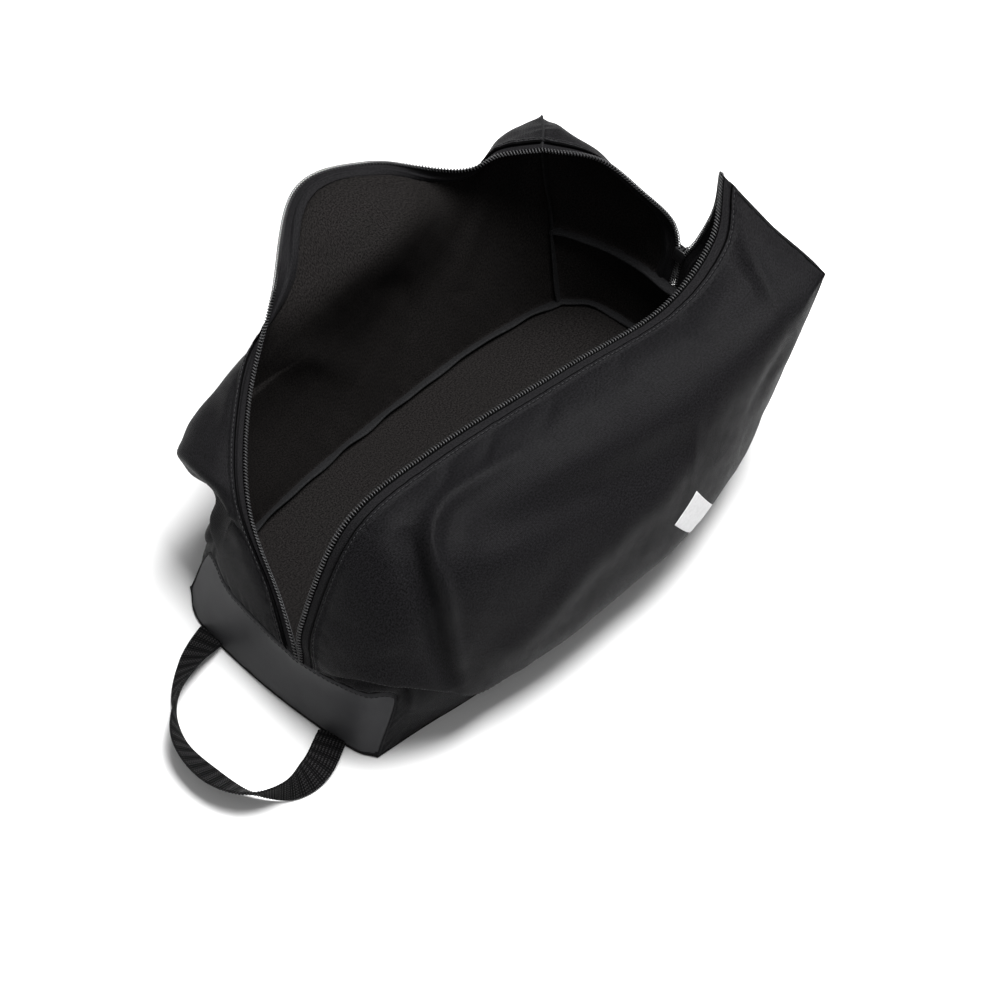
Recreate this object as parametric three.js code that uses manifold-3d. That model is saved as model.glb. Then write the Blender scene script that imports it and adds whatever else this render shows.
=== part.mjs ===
// Shoe bag: a soft zipped carrier for one pair of shoes, standing on its base with its mouth unzipped.
// Millimetres, +Z up. +X runs from the handle end to the zip slider end, -Y is the front with the patch,
// and the origin is at the middle of the base, on the ground.
import * as THREE from "three";
import Module from "manifold-3d";

// ---------------------------------------------------------------- driving dimensions
const CLOTH = 2.0; // body cloth, with its lining
const COATED = 2.4; // coated base and end panels
const ZIP_REACH = 10; // from the free edge of the coil to the folded edge of the cloth
const COIL_WIDTH = 3.0;
const COIL_HEIGHT = 2.4;
const TAPE_THICK = 0.8;
const GAP = 0.5; // clear distance between neighbouring solids
const SHOULDER_T = 0.5; // row of the shoulder, between the roof strip and the wall
const FAR_SEAM_T = 0.78; // where the far end seam meets the corner line

const WEB_WIDTH = 20;
const WEB_THICK = 1.8;

// ---------------------------------------------------------------- materials
const material = (color, roughness, metalness = 0) =>
  new THREE.MeshStandardMaterial({ color, roughness, metalness, side: THREE.DoubleSide });
const BLACK_CLOTH = material(0x1a1a1c, 0.7);
const GREY_COATED = material(0x2c2d30, 0.5);
const TAPE_BLACK = material(0x141416, 0.8);
const COIL_BLACK = material(0x101012, 0.35);
const WEB_BLACK = material(0x161618, 0.85);
const SLIDER_BLACK = material(0x18181a, 0.35, 0.8);
const BINDING_BLACK = material(0x202022, 0.8);
const PATCH_WHITE = material(0xf2f2f2, 0.5);

// ---------------------------------------------------------------- control points of the cloth
// Each column runs from the free edge of the zip over the roof strip and the shoulder, down the wall to
// the base: zip, roof, shoulder, belly, foot. Columns follow each other from the handle end to the far end.
const FRONT_COLUMNS = [
  [[-185, -26.5, 54.5], [-181, -48, 54.5], [-173, -72, 54.5], [-160, -86, 50], [-166, -87, 3.2]],
  [[-176, -21, 86], [-172, -47, 94], [-162, -80, 92], [-142, -102, 56], [-140, -92, 3.2]],
  [[-132, -17, 144], [-128, -50, 149], [-116, -92, 128], [-104, -118, 58], [-104, -98, 3.2]],
  [[-60, -19, 150], [-56, -62, 157], [-52, -106, 133], [-50, -130, 56], [-50, -104, 3.2]],
  [[45, -30, 145], [50, -72, 154], [54, -112, 131], [50, -132, 56], [50, -105, 3.2]],
  [[125, -39, 141], [133, -76, 150], [134, -110, 134], [122, -119, 58], [122, -98, 3.2]],
  [[182, -30, 153], [186, -68, 156], [185, -105, 144], [159, -108, 63], [154, -91, 3.2]],
  [[215, -8, 175], [213, -55, 163], [214, -101, 152], [178, -99, 66], [168, -87, 3.2]],
];
const BACK_COLUMNS = [
  [[-185, -25.5, 54.5], [-184, 5, 54.5], [-180, 42, 54.5], [-168, 76, 50], [-175, 92, 3.2]],
  [[-172, 2, 78], [-172, 36, 86], [-165, 77, 78], [-158, 90, 58], [-150, 94, 3.2]],
  [[-150, 52, 108], [-152, 86, 115], [-141, 124, 100], [-130, 108, 60], [-118, 97, 3.2]],
  [[-104, 100, 128], [-99, 121, 128], [-90, 134, 110], [-84, 124, 60], [-70, 102, 3.2]],
  [[-44, 142, 146], [-38, 141, 134], [-31, 131, 114], [-28, 126, 60], [-20, 104, 3.2]],
  [[27, 196, 145], [28, 165, 148], [30, 128, 130], [30, 127, 64], [35, 104, 3.2]],
  [[76, 178, 147], [79, 159, 141], [80, 132, 124], [80, 126, 64], [80, 103, 3.2]],
  [[120, 136, 138], [124, 140, 120], [128, 138, 98], [120, 124, 60], [116, 99, 3.2]],
  [[143, 122, 145], [152, 133, 138], [164, 144, 123], [152, 120, 62], [146, 94, 3.2]],
  [[163, 102, 150], [182, 119, 143], [198, 136, 130], [181, 110, 62], [168, 87, 3.2]],
];
// The zip runs down the far end: from its bend, past the slider, to the end seam.
const FRONT_RUN = [[215, -8, 175], [213, -7, 140], [209.5, 2, 104], [203.5, 10.6, 80], [198, 10.6, 58]];
const BACK_RUN = [
  [163, 102, 150], [187, 72, 145], [196, 41, 130], [207, 22, 105], [203.5, 12.6, 80], [198, 12.6, 58],
];
const FAR_SEAM_BULGE = 8; // how far the far end seam bows out between its ends

const NEAR_PANEL = [
  [[-172, -85, 3.4], [-186, -66, 3.4], [-191, 0, 3.4], [-188, 66, 3.4], [-179, 91, 3.4]],
  [[-169, -84, 27], [-184, -63, 27], [-190, 0, 27], [-186, 61, 27], [-177, 83, 27]],
  [[-165, -82, 52], [-177, -58, 53], [-186, 0, 53], [-180, 48, 53], [-171, 71, 52]],
];
const FAR_PANEL = [
  [[173, -85, 3.4], [183, -62, 3.4], [188, 0, 3.4], [183, 62, 3.4], [173, 85, 3.4]],
  [[177, -91, 30], [188, -62, 30], [193, 0, 30], [188, 62, 30], [178, 93, 30]],
  [[180, -95, 55], [193, -62, 56], [200, 0, 56.5], [193, 62, 56], [181, 101, 55]],
];
const BASE_OUTLINE = [
  [-192.5, 0], [-190, -48], [-185, -72], [-175, -87], [-140, -93], [-104, -99], [-50, -105], [50, -106],
  [122, -100], [160, -90], [178, -82], [186, -45], [189, 0], [186, 45], [178, 82], [160, 92],
  [116, 101], [35, 106], [-70, 104], [-118, 99], [-150, 95.5], [-179, 94], [-187, 74], [-191, 48],
];
// Middle line of the webbing loop, with the turn of the band about it in degrees: 0 lies flat.
const HANDLE_PATH = [
  [-193.5, 53, 4, 0], [-214, 47, 7, 30], [-241, 31, 12, 71], [-261, 6, 13, 119], [-265, -25, 13, 143],
  [-257, -52, 12, 124], [-238, -68, 11, 83], [-214, -68, 7, 30], [-191.5, -58, 4, 3],
];

// ---------------------------------------------------------------- curves and surfaces
const vec = (p) => new THREE.Vector3(p[0], p[1], p[2]);

/** Catmull-Rom curve through evenly spaced points, at u from 0 to 1. */
function along(points, u) {
  const spans = points.length - 1;
  const at = Math.min(Math.max(u, 0), 1) * spans;
  const i = Math.min(Math.floor(at), spans - 1);
  const f = at - i;
  const p1 = points[i];
  const p2 = points[i + 1];
  const p0 = i > 0 ? points[i - 1] : p1.clone().multiplyScalar(2).sub(p2);
  const p3 = i + 2 <= spans ? points[i + 2] : p2.clone().multiplyScalar(2).sub(p1);
  const weights = [
    -0.5 * f + f * f - 0.5 * f ** 3,
    1 - 2.5 * f * f + 1.5 * f ** 3,
    0.5 * f + 2 * f * f - 1.5 * f ** 3,
    -0.5 * f * f + 0.5 * f ** 3,
  ];
  const out = new THREE.Vector3();
  [p0, p1, p2, p3].forEach((p, k) => out.addScaledVector(p, weights[k]));
  return out;
}

/** Surface through a table of columns: s runs from column to column and t down each one. */
function tableSurface(columns) {
  const table = columns.map((column) => column.map(vec));
  return (s, t) => along(table.map((column) => along(column, t)), s);
}

/** Surface between four edges: u from left to right and v from top to bottom. */
function coons(top, bottom, left, right) {
  const corner = (edge, w) => edge(w);
  return (u, v) => {
    const p = new THREE.Vector3();
    p.addScaledVector(top(u), 1 - v).addScaledVector(bottom(u), v);
    p.addScaledVector(left(v), 1 - u).addScaledVector(right(v), u);
    p.addScaledVector(corner(top, 0), -(1 - u) * (1 - v)).addScaledVector(corner(top, 1), -u * (1 - v));
    p.addScaledVector(corner(bottom, 0), -(1 - u) * v).addScaledVector(corner(bottom, 1), -u * v);
    return p;
  };
}

/** Unit normal of a surface, on the side that `side` picks. */
function normalOf(surface, u, v, side) {
  const d = 0.004;
  const du = surface(Math.min(u + d, 1), v).sub(surface(Math.max(u - d, 0), v));
  const dv = surface(u, Math.min(v + d, 1)).sub(surface(u, Math.max(v - d, 0)));
  return du.cross(dv).multiplyScalar(side).normalize();
}

/** Mesh from points and triangles, turned so that its faces point out. */
function closedMesh(name, points, triangles, mat) {
  let volume = 0;
  for (const [a, b, c] of triangles) volume += points[a].dot(points[b].clone().cross(points[c]));
  const position = points.flatMap((p) => [p.x, p.y, p.z]);
  const index = triangles.flatMap(([a, b, c]) => (volume < 0 ? [a, c, b] : [a, b, c]));
  const geometry = new THREE.BufferGeometry();
  geometry.setAttribute("position", new THREE.Float32BufferAttribute(position, 3));
  geometry.setIndex(index);
  geometry.computeVertexNormals();
  const mesh = new THREE.Mesh(geometry, mat);
  mesh.name = name;
  return mesh;
}

/** Closed sheet between an outer and an inner grid of points, each (rows) x (cols). */
function sheetBetween(name, outer, inner, mat) {
  const rows = outer.length;
  const cols = outer[0].length;
  const points = [...outer.flat(), ...inner.flat()];
  const id = (layer, r, c) => layer * rows * cols + r * cols + c;
  const triangles = [];
  const quad = (a, b, c, d) => triangles.push([a, b, c], [a, c, d]);
  for (let r = 0; r < rows - 1; r++) {
    for (let c = 0; c < cols - 1; c++) {
      quad(id(0, r, c), id(0, r, c + 1), id(0, r + 1, c + 1), id(0, r + 1, c));
      quad(id(1, r, c), id(1, r + 1, c), id(1, r + 1, c + 1), id(1, r, c + 1));
    }
  }
  for (let c = 0; c < cols - 1; c++) {
    quad(id(0, 0, c + 1), id(0, 0, c), id(1, 0, c), id(1, 0, c + 1));
    quad(id(0, rows - 1, c), id(0, rows - 1, c + 1), id(1, rows - 1, c + 1), id(1, rows - 1, c));
  }
  for (let r = 0; r < rows - 1; r++) {
    quad(id(0, r, 0), id(0, r + 1, 0), id(1, r + 1, 0), id(1, r, 0));
    quad(id(0, r + 1, cols - 1), id(0, r, cols - 1), id(1, r, cols - 1), id(1, r + 1, cols - 1));
  }
  return closedMesh(name, points, triangles, mat);
}

/** Sheet of cloth on a surface: `spots` gives the (u, v) of every grid point. */
function clothSheet(name, surface, spots, thickness, side, mat, lift = 0) {
  const grid = spots.map((row) => row.map(([u, v]) => ({ p: surface(u, v), n: normalOf(surface, u, v, side) })));
  const outer = grid.map((row) => row.map(({ p, n }) => p.clone().addScaledVector(n, lift)));
  const inner = grid.map((row) => row.map(({ p, n }) => p.clone().addScaledVector(n, lift - thickness)));
  return sheetBetween(name, outer, inner, mat);
}

const spread = (from, to, count) => Array.from({ length: count + 1 }, (_, i) => from + ((to - from) * i) / count);

// ---------------------------------------------------------------- zip edges
/** The v at which a surface is `reach` millimetres from its zip edge. */
function reachTo(surface, u, reach) {
  const start = surface(u, 0);
  let v = 0;
  while (surface(u, v).distanceTo(start) < reach && v < 0.45) v += 0.004;
  return v;
}

/** Frame of the zip edge of one half at s from 0 to 1: the edge point, the way into the cloth, the outside. */
function zipFrames(half, count) {
  const main = spread(0.004, 1, count).map((s) => {
    const point = half.wall(s, 0);
    const into = half.wall(s, reachTo(half.wall, s, ZIP_REACH)).sub(point).normalize();
    return { point, into, out: normalOf(half.wall, s, 0.05, half.side) };
  });
  const run = spread(0.06, 0.985, Math.round(count / 2)).map((v) => {
    const point = half.gusset(0, v);
    const into = half.gusset(reachTo((a, b) => half.gusset(b, a), v, ZIP_REACH), v).sub(point).normalize();
    return { point, into, out: normalOf(half.gusset, 0.08, v, half.gussetSide) };
  });
  return smoothed([...main, ...run]);
}

/** The same frames with their directions averaged over their neighbours, as a stiff zip tape does. */
function smoothed(frames) {
  const reach = 3;
  const average = (i, key) => {
    const sum = new THREE.Vector3();
    for (let k = Math.max(0, i - reach); k <= Math.min(frames.length - 1, i + reach); k++) sum.add(frames[k][key]);
    return sum.normalize();
  };
  return frames.map(({ point }, i) => {
    const into = average(i, "into");
    const out = average(i, "out");
    return { point, into, out: out.addScaledVector(into, -out.dot(into)).normalize() };
  });
}

/** Strip along the zip edge, from `a` to `b` millimetres into the cloth and `high` to `low` off it. */
function zipStrip(name, frames, a, b, high, low, mat) {
  const line = (reach, lift) =>
    frames.map(({ point, into, out }) => point.clone().addScaledVector(into, reach).addScaledVector(out, lift));
  return sheetBetween(name, [line(a, high), line(b, high)], [line(a, low), line(b, low)], mat);
}

// ---------------------------------------------------------------- the two halves
function makeHalf(columns, run, side, gussetSide) {
  const wall = tableSurface(columns);
  const runPoints = run.map(vec);
  const top = (u) => wall(1, u * SHOULDER_T);
  const right = (v) => wall(1, SHOULDER_T + (FAR_SEAM_T - SHOULDER_T) * v);
  const left = (v) => along(runPoints, v);
  const bottom = (u) => {
    const p = left(1).lerp(right(1), u);
    p.x += FAR_SEAM_BULGE * Math.sin(Math.PI * u);
    return p;
  };
  return { wall, gusset: coons(top, bottom, left, right), side, gussetSide };
}

const front = makeHalf(FRONT_COLUMNS, FRONT_RUN, -1, 1);
const back = makeHalf(BACK_COLUMNS, BACK_RUN, 1, -1);

const WALL_STEPS = 44;
const ROOF_STEPS = 8;
const DROP_STEPS = 8;
const FOLD_CLEARANCE = 0.005; // share of the panel left clear where its upper and lower parts meet
const GUSSET_STEPS = 10;
const GUSSET_TRIM = 0.09; // part of the gusset left clear along the seams it meets

/** Upper part of a half's main panel, from the folded hem beside the zip to the shoulder. */
function roofPanel(name, half) {
  const spots = spread(0.004, 0.997, WALL_STEPS).map((s) => {
    const edge = reachTo(half.wall, s, ZIP_REACH);
    return spread(edge, SHOULDER_T, ROOF_STEPS).map((t) => [s, t]);
  });
  return clothSheet(name, half.wall, spots, CLOTH, half.side, BLACK_CLOTH);
}

/** Lower part of the same panel, from the shoulder to the base seam. */
function wallPanel(name, half) {
  const downward = spread(SHOULDER_T + FOLD_CLEARANCE, 0.997, DROP_STEPS);
  const spots = spread(0.004, 0.997, WALL_STEPS).map((s) => downward.map((t) => [s, t]));
  return clothSheet(name, half.wall, spots, CLOTH, half.side, BLACK_CLOTH);
}

function gussetPanel(name, half) {
  const spots = spread(GUSSET_TRIM, 0.975, GUSSET_STEPS).map((v) => {
    const edge = reachTo((a, b) => half.gusset(b, a), v, ZIP_REACH);
    return spread(edge, 1 - GUSSET_TRIM, GUSSET_STEPS).map((u) => [u, v]);
  });
  return clothSheet(name, half.gusset, spots, CLOTH, half.gussetSide, BLACK_CLOTH);
}

function endPanel(name, rows, side) {
  const spots = spread(0, 1, 6).map((u) => spread(0, 1, 16).map((v) => [u, v]));
  return clothSheet(name, tableSurface(rows), spots, COATED, side, GREY_COATED);
}

/** Binding tape along the inside of an end panel's top seam. */
function endBinding(name, rows, side) {
  const spots = spread(0.82, 0.97, 2).map((u) => spread(0.06, 0.94, 16).map((v) => [u, v]));
  return clothSheet(name, tableSurface(rows), spots, 1, side, BINDING_BLACK, -COATED - GAP);
}

/** Binding tape: a narrow strip that covers a seam on the inside of the bag. */
function binding(name, line, across, inward, width, depth) {
  const at = (w, d) =>
    line.map((p, i) => p.clone().addScaledVector(across[i], w).addScaledVector(inward[i], d));
  const [near, far] = [depth, depth + 1];
  return sheetBetween(name, [at(-width / 2, near), at(width / 2, near)], [at(-width / 2, far), at(width / 2, far)],
    BINDING_BLACK);
}

// Binding inside each far corner, from the zip bend down to the far end seam.
const BINDING_S = 0.965;
function cornerBinding(name, half) {
  const ts = spread(0.09, FAR_SEAM_T - 0.02, 14);
  const line = ts.map((t) => half.wall(BINDING_S, t));
  const across = ts.map((t) => half.wall(1, t).sub(half.wall(BINDING_S - 0.03, t)).normalize());
  const inward = ts.map((t) => normalOf(half.wall, BINDING_S, t, -half.side));
  return binding(name, line, across, inward, 6, CLOTH + 2.5 * GAP);
}

// ---------------------------------------------------------------- base, patch
function basePanel() {
  const curve = new THREE.CatmullRomCurve3(BASE_OUTLINE.map(([x, y]) => new THREE.Vector3(x, y, 0)), true);
  const shape = new THREE.Shape(curve.getPoints(72).slice(0, -1).map((p) => new THREE.Vector2(p.x, p.y)));
  const mesh = new THREE.Mesh(
    new THREE.ExtrudeGeometry(shape, { depth: COATED, bevelEnabled: false }),
    GREY_COATED,
  );
  mesh.name = "base_panel";
  return mesh;
}

function frontPatch() {
  const spots = spread(0.565, 0.63, 4).map((s) => spread(0.66, 0.84, 6).map((t) => [s, t]));
  return clothSheet("front_patch", front.wall, spots, 0.5, front.side, PATCH_WHITE, 1.0);
}

// ---------------------------------------------------------------- slider, puller and stop
const wasm = await Module();
wasm.setup();

const RUN_LEAN = Math.atan2(203.5 - 198, 80 - 58); // lean of the zip where the slider parks
const SLIDER_AT = [204.4, 11.6, 83.5];
const CROSSBAR_OUT = 3.75; // from the plane of the tape to the puller's crossbar, under the bail
const CROSSBAR_RADIUS = 0.7;
const PULLER_HALF_WIDTH = 3.25;
const PULLER_LENGTH = 30;

/** Solid block between two corners. */
const block = ([x0, y0, z0], [x1, y1, z1]) =>
  wasm.Manifold.cube([x1 - x0, y1 - y0, z1 - z0]).translate([x0, y0, z0]);

/** Block across Y, centred on Y = 0. */
const barAcross = (x0, x1, halfWidth, z0, z1) => block([x0, -halfWidth, z0], [x1, halfWidth, z1]);

/** Mesh from a manifold solid, flat shaded. */
function solidMesh(name, solid, mat) {
  const { vertProperties, triVerts, numProp } = solid.getMesh();
  const geometry = new THREE.BufferGeometry();
  const position = Array.from(triVerts).flatMap((v) => [0, 1, 2].map((k) => vertProperties[v * numProp + k]));
  geometry.setAttribute("position", new THREE.Float32BufferAttribute(position, 3));
  geometry.computeVertexNormals();
  const mesh = new THREE.Mesh(geometry, mat);
  mesh.name = name;
  return mesh;
}

/** Slider in its own frame: +X out of the bag, +Z up the zip. Two plates, the post between them and a bail. */
function slider() {
  const solid = wasm.Manifold.union([
    barAcross(1.5, 2.7, 4.4, -5, 5),
    barAcross(-3.4, -2.2, 4.4, -5, 5),
    barAcross(-3.0, 2.0, 0.9, 2.8, 5),
    barAcross(2.5, 6.0, 0.8, -3.6, -2.4),
    barAcross(2.5, 6.0, 0.8, 2.4, 3.6),
    barAcross(4.8, 6.0, 0.8, -3.6, 3.6),
  ]);
  const mesh = solidMesh("zip_slider", solid, SLIDER_BLACK);
  mesh.position.set(...SLIDER_AT);
  mesh.rotation.y = RUN_LEAN;
  return mesh;
}

/** Puller about its round crossbar: it hangs straight down, with a slot that clears the bail and a grip hole. */
function puller() {
  const crossbar = wasm.Manifold.cylinder(2 * PULLER_HALF_WIDTH, CROSSBAR_RADIUS, CROSSBAR_RADIUS, 24, true);
  const tab = barAcross(-0.6, 0.6, PULLER_HALF_WIDTH, -PULLER_LENGTH, 0);
  const bailSlot = barAcross(-2, 2, 1.4, -7.5, 1);
  const gripHole = barAcross(-2, 2, 1.4, -25, -17);
  const solid = tab.subtract(bailSlot).subtract(gripHole).add(crossbar.rotate([90, 0, 0]));
  const mesh = solidMesh("zip_puller", solid, SLIDER_BLACK);
  mesh.position.set(
    SLIDER_AT[0] + CROSSBAR_OUT * Math.cos(RUN_LEAN),
    SLIDER_AT[1],
    SLIDER_AT[2] - CROSSBAR_OUT * Math.sin(RUN_LEAN),
  );
  return mesh;
}

/** Stop clamped over both coils at the bottom of the zip. */
function bottomStop() {
  const mesh = solidMesh("zip_bottom_stop", barAcross(1.3, 2.3, 4, -1.5, 1.5), SLIDER_BLACK);
  mesh.position.set(199.2, SLIDER_AT[1], 63);
  mesh.rotation.y = RUN_LEAN;
  return mesh;
}

// ---------------------------------------------------------------- handle
function handleWebbing() {
  const path = HANDLE_PATH.map(vec);
  const turns = HANDLE_PATH.map(([, , , degrees]) => new THREE.Vector3(degrees, 0, 0));
  const upper = [[], []];
  const lower = [[], []];
  for (const u of spread(0, 1, 48)) {
    const middle = along(path, u);
    const tangent = along(path, Math.min(u + 0.01, 1)).sub(along(path, Math.max(u - 0.01, 0))).normalize();
    const flat = new THREE.Vector3(0, 0, 1).cross(tangent).normalize();
    const turn = THREE.MathUtils.degToRad(along(turns, u).x);
    const width = flat.clone().applyAxisAngle(tangent, turn);
    const thick = tangent.clone().cross(width).normalize();
    for (const [row, w] of [-WEB_WIDTH / 2, WEB_WIDTH / 2].entries()) {
      upper[row].push(middle.clone().addScaledVector(width, w).addScaledVector(thick, WEB_THICK / 2));
      lower[row].push(middle.clone().addScaledVector(width, w).addScaledVector(thick, -WEB_THICK / 2));
    }
  }
  return sheetBetween("handle_webbing", upper, lower, WEB_BLACK);
}

// ---------------------------------------------------------------- assembly
const bag = new THREE.Group();
bag.name = "shoe_bag";

bag.add(basePanel());
bag.add(endPanel("near_end_panel", NEAR_PANEL, 1));
bag.add(endPanel("far_end_panel", FAR_PANEL, -1));
bag.add(endBinding("near_seam_binding", NEAR_PANEL, 1));
bag.add(endBinding("far_seam_binding", FAR_PANEL, -1));
bag.add(roofPanel("front_roof", front));
bag.add(wallPanel("front_wall", front));
bag.add(roofPanel("back_roof", back));
bag.add(wallPanel("back_wall", back));
bag.add(gussetPanel("front_far_gusset", front));
bag.add(gussetPanel("back_far_gusset", back));

for (const [which, half] of [["front", front], ["back", back]]) {
  const frames = zipFrames(half, 48);
  bag.add(zipStrip(`zip_coil_${which}`, frames, 0, COIL_WIDTH, 0.8, 0.8 - COIL_HEIGHT, COIL_BLACK));
  bag.add(zipStrip(`zip_tape_${which}`, frames, COIL_WIDTH + GAP, ZIP_REACH - 2 * GAP, 0, -TAPE_THICK, TAPE_BLACK));
  bag.add(cornerBinding(`far_corner_binding_${which}`, half));
}

bag.add(frontPatch());
bag.add(slider());
bag.add(puller());
bag.add(bottomStop());
bag.add(handleWebbing());

export default bag;
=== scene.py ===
"""Shoe bag standing open on its base: cloth halves, coated end panels, coil zip and webbing handle.

Shapes are worked out in millimetres and written to Blender in metres.
+X runs from the handle end to the slider end, -Y is the front, and the ground is Z = 0.
"""

import math

import bmesh
import bpy
import numpy as np
from mathutils import Matrix, Vector


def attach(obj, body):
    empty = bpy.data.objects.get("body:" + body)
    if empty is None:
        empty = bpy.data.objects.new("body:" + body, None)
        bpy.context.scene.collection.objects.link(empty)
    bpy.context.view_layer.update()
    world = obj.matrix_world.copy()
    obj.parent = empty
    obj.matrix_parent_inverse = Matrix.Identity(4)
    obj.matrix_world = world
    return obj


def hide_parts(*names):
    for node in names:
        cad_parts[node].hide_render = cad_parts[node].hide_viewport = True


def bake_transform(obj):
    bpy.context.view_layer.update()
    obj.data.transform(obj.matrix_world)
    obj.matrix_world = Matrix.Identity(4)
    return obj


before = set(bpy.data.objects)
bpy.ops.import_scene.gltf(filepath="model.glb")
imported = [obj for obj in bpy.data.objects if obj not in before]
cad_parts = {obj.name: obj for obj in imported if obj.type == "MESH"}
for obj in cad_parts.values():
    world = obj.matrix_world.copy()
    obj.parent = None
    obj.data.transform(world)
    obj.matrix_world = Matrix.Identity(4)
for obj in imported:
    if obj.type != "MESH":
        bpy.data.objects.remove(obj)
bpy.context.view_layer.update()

MM = 0.001

# ------------------------------------------------------------------ driving dimensions, mm
CLOTH = 0.9
COATED = 1.6
ZIP_REACH = 10.0  # from the coil's free edge to the folded edge of the cloth
HEM_LIFT = 1.0
STITCH_IN = 3.3  # topstitch line, in from the folded edge
PANEL_STITCH_IN = 3.6  # the end panels' topstitch, down from their top seam
STITCH_PITCH = 3.4
STITCH_LENGTH = 2.5
STITCH_RADIUS = 0.27
COIL_PITCH = 2.1
COIL_HALF_WIDTH = 1.7
COIL_MIDDLE = 0.55  # in from the line where the closed halves meet, so that their coils interlock
COIL_HALF_HEIGHT = 1.1
COIL_LIFT = -0.4
COIL_WIRE = 0.42
CORE_REACH = COIL_MIDDLE + 0.2
CORE_RADIUS = 0.6
TAPE_THICK = 0.6
SHOULDER_T = 0.5
NEAR_CORNER_T = 0.75
FAR_CORNER_T = 0.78
FAR_SEAM_BULGE = 8.0
CORNER_SHARPNESS = 0.8  # 1 would join the control points of the far corner with straight lines
CORNER_FROM = 0.78
WEAVE_SHIFT = 600  # keeps the gussets' weave from starting like the walls'
APEX_REACH = 8.0  # radius in which the relief of the cloth fades to nothing at the far top corner
OVERHANG_EDGE = 2.6  # half the distance over which an overhang turns from bulge to tuck
WEB_WIDTH = 20.0
WEB_THICK = 1.6
RIB_PITCH = 1.9
RIB_HEIGHT = 0.42
WARP_PITCH = 2.2

# ------------------------------------------------------------------ control points of the cloth, mm
# Columns from the handle end to the far end. The points of each are zip, roof, shoulder, belly and foot.
FRONT_COLUMNS = np.array([
    [[-185, -26.5, 54.5], [-181, -48, 54.5], [-173, -72, 54.5], [-160, -86, 50], [-178, -87, 1.2]],
    [[-176, -21, 86], [-172, -47, 94], [-162, -80, 92], [-142, -102, 56], [-140, -92, 1.2]],
    [[-132, -17, 144], [-128, -50, 149], [-116, -92, 128], [-104, -118, 58], [-104, -98, 1.2]],
    [[-60, -19, 150], [-56, -62, 157], [-52, -106, 133], [-50, -130, 56], [-50, -104, 1.2]],
    [[45, -30, 145], [50, -72, 154], [54, -112, 131], [50, -132, 56], [50, -105, 1.2]],
    [[125, -39, 141], [133, -76, 150], [134, -110, 134], [122, -119, 58], [122, -98, 1.2]],
    [[182, -30, 153], [186, -68, 156], [185, -105, 144], [159, -108, 63], [154, -91, 1.2]],
    [[215, -8, 175], [213, -55, 163], [214, -101, 152], [178, -99, 66], [168, -87, 1.2]],
], float)
BACK_COLUMNS = np.array([
    [[-185, -25.5, 54.5], [-184, 5, 54.5], [-180, 42, 54.5], [-168, 76, 50], [-175, 92, 1.2]],
    [[-172, 2, 78], [-172, 36, 86], [-165, 77, 78], [-158, 90, 58], [-150, 94, 1.2]],
    [[-150, 52, 108], [-152, 86, 115], [-141, 124, 100], [-130, 108, 60], [-118, 97, 1.2]],
    [[-104, 100, 128], [-99, 121, 128], [-90, 134, 110], [-84, 124, 60], [-70, 102, 1.2]],
    [[-44, 142, 146], [-38, 141, 134], [-31, 131, 114], [-28, 126, 60], [-20, 104, 1.2]],
    [[27, 196, 145], [28, 165, 148], [30, 128, 130], [30, 127, 64], [35, 104, 1.2]],
    [[76, 178, 147], [79, 159, 141], [80, 132, 124], [80, 126, 64], [80, 103, 1.2]],
    [[120, 136, 138], [124, 140, 120], [128, 138, 98], [120, 124, 60], [116, 99, 1.2]],
    [[143, 122, 145], [152, 133, 138], [164, 144, 123], [152, 120, 62], [146, 94, 1.2]],
    [[163, 102, 150], [182, 119, 143], [198, 136, 130], [181, 110, 62], [168, 87, 1.2]],
], float)
# The zip down the far end, and the foot line round both ends.
FRONT_RUN = np.array([
    [215, -8, 175], [213, -7, 140], [209.5, 2, 104], [203.5, 10.6, 80], [198, 10.6, 56],
], float)
BACK_RUN = np.array([
    [163, 102, 150], [187, 72, 145], [196, 41, 130], [207, 22, 105], [203.5, 12.6, 80], [198, 12.6, 56],
], float)
NEAR_FOOT = np.array([
    [-178, -87, 1.2], [-186, -67, 1.2], [-192, 0, 1.2], [-189, 66, 1.2], [-175, 92, 1.2],
], float)
FAR_FOOT = np.array([
    [168, -87, 1.2], [185, -62, 1.2], [189, 0, 1.2], [185, 62, 1.2], [168, 87, 1.2],
], float)
# Middle line of the webbing loop, with the turn of the band about it in degrees.
HANDLE_PATH = np.array([
    [-188, 54, 3, 0], [-193.5, 53, 4, 2], [-214, 47, 7, 30], [-241, 31, 12, 71], [-261, 6, 13, 119],
    [-265, -25, 13, 143], [-257, -52, 12, 124], [-238, -68, 11, 83], [-214, -68, 7, 30],
    [-191.5, -58, 4, 3], [-186, -55, 3, 0],
], float)
SLIDER_AT = np.array([204.4, 11.6, 83.5])
STOP_AT = np.array([199.2, 11.6, 63.0])
RUN_LEAN = math.atan(0.25)  # the slider's stretch of the zip leans 1 in 4
CROSSBAR_OUT = 3.75
PULLER_LENGTH = 30.0
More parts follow.
